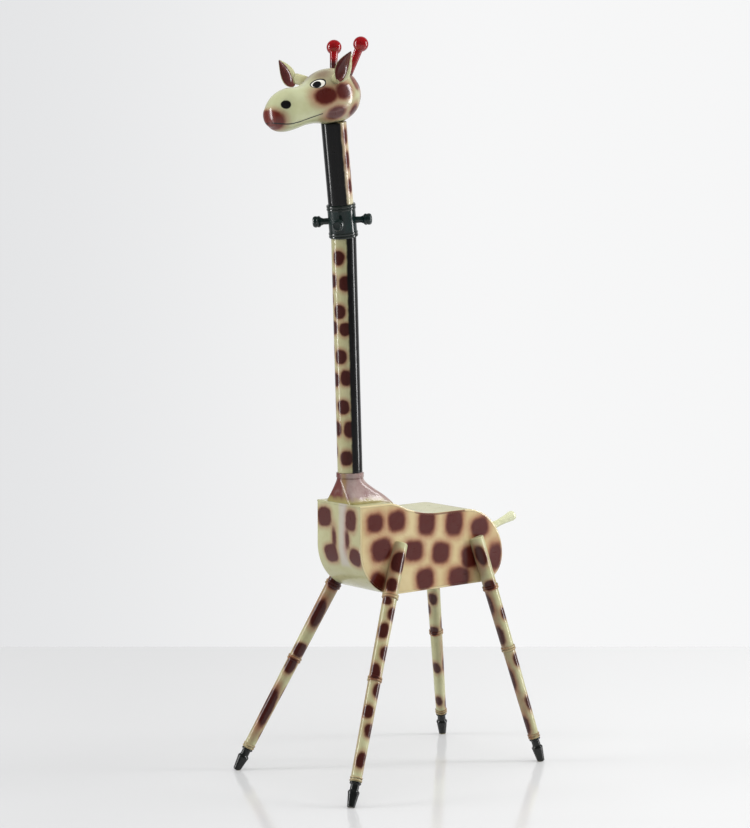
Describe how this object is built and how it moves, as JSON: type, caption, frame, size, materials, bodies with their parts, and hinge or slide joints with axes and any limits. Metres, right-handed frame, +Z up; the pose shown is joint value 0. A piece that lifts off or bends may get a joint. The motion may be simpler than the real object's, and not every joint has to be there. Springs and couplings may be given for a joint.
{
  "type": "painted wooden giraffe figure with a saddle seat",
  "caption": "Standing painted wooden giraffe: box body with a dipped seat, splayed turned legs, and a tall pole neck whose upper part and head swivel in a pegged collar.",
  "frame": {"origin": "on the floor, at the middle of the bounding box", "axes": "+Z up along the neck, -Y the way the giraffe faces, +X its left side"},
  "size_m": [0.3784, 0.6412, 1.4405],
  "materials": {
    "body_paint": "tan cream paint with maroon spots, glossy",
    "sheet_paint": "greenish cream paint with maroon spots, glossy",
    "seat_paint": "glossy cream paint",
    "leg_paint": "greenish cream paint with maroon spots and tan rings, glossy",
    "hoof_paint": "glossy black paint",
    "socket_paint": "weathered red brown and lilac paint over greenish yellow",
    "neck_paint": "one side glossy black, the other cream with maroon spots",
    "collar_paint": "glossy green black paint",
    "head_paint": "greenish cream paint with maroon spots, painted eyes and mouth",
    "ear_paint": "cream paint outside, maroon inside",
    "horn_paint": "high gloss red lacquer",
    "tail_paint": "pale cream paint, glossy",
    "bare_wood": "unpainted softwood, hidden inside the body",
    "screw_steel": "zinc plated wood screws, hidden inside the body"
  },
  "bodies": {
    "stand": {"side_panel_left": "body_paint", "side_panel_right": "body_paint", "chest_sheet": "sheet_paint", "saddle_seat": "seat_paint", "belly_sheet": "sheet_paint", "rump_sheet": "sheet_paint", "neck_block": "bare_wood", "rump_block": "bare_wood", "neck_socket": "socket_paint", "lower_neck": "neck_paint", "collar": "collar_paint", "tail": "tail_paint", "leg_front_left": "leg_paint", "leg_front_right": "leg_paint", "leg_rear_left": "leg_paint", "leg_rear_right": "leg_paint", "hoof_front_left": "hoof_paint", "hoof_front_right": "hoof_paint", "hoof_rear_left": "hoof_paint", "hoof_rear_right": "hoof_paint", "leg_screw_front_left_upper": "screw_steel", "leg_screw_front_left_lower": "screw_steel", "leg_screw_front_right_upper": "screw_steel", "leg_screw_front_right_lower": "screw_steel", "leg_screw_rear_left_upper": "screw_steel", "leg_screw_rear_left_lower": "screw_steel", "leg_screw_rear_right_upper": "screw_steel", "leg_screw_rear_right_lower": "screw_steel"},
    "upper_neck": {"upper_neck": "neck_paint"},
    "head": {"head": "head_paint", "ear_left": "ear_paint", "ear_right": "ear_paint", "horn_left": "horn_paint", "horn_right": "horn_paint"},
    "peg_front_left": {"collar_peg_front_left": "collar_paint"},
    "peg_back_left": {"collar_peg_back_left": "collar_paint"},
    "peg_back_right": {"collar_peg_back_right": "collar_paint"},
    "peg_front_right": {"collar_peg_front_right": "collar_paint"}
  },
  "joints": [
    {"name": "neck_swivel", "type": "hinge", "parent": "stand", "child": "upper_neck", "pos_m": [0, -0.12937, 1.06175], "axis": [0.0739, -0.1668, 0.9832], "continuous": true},
    {"name": "head_swivel", "type": "hinge", "parent": "upper_neck", "child": "head", "pos_m": [0.01638, -0.16633, 1.27963], "axis": [0.0739, -0.1668, 0.9832], "continuous": true},
    {"name": "peg_turn_front_left", "type": "hinge", "parent": "stand", "child": "peg_front_left", "pos_m": [0.00237, -0.13471, 1.09321], "axis": [0.658, -0.7327, -0.1738], "continuous": true},
    {"name": "peg_turn_back_left", "type": "hinge", "parent": "stand", "child": "peg_back_left", "pos_m": [0.00237, -0.13471, 1.09321], "axis": [0.7494, 0.6598, 0.0556], "continuous": true},
    {"name": "peg_turn_back_right", "type": "hinge", "parent": "stand", "child": "peg_back_right", "pos_m": [0.00237, -0.13471, 1.09321], "axis": [-0.658, 0.7327, 0.1738], "continuous": true},
    {"name": "peg_turn_front_right", "type": "hinge", "parent": "stand", "child": "peg_front_right", "pos_m": [0.00237, -0.13471, 1.09321], "axis": [-0.7494, -0.6598, -0.0556], "continuous": true}
  ]
}
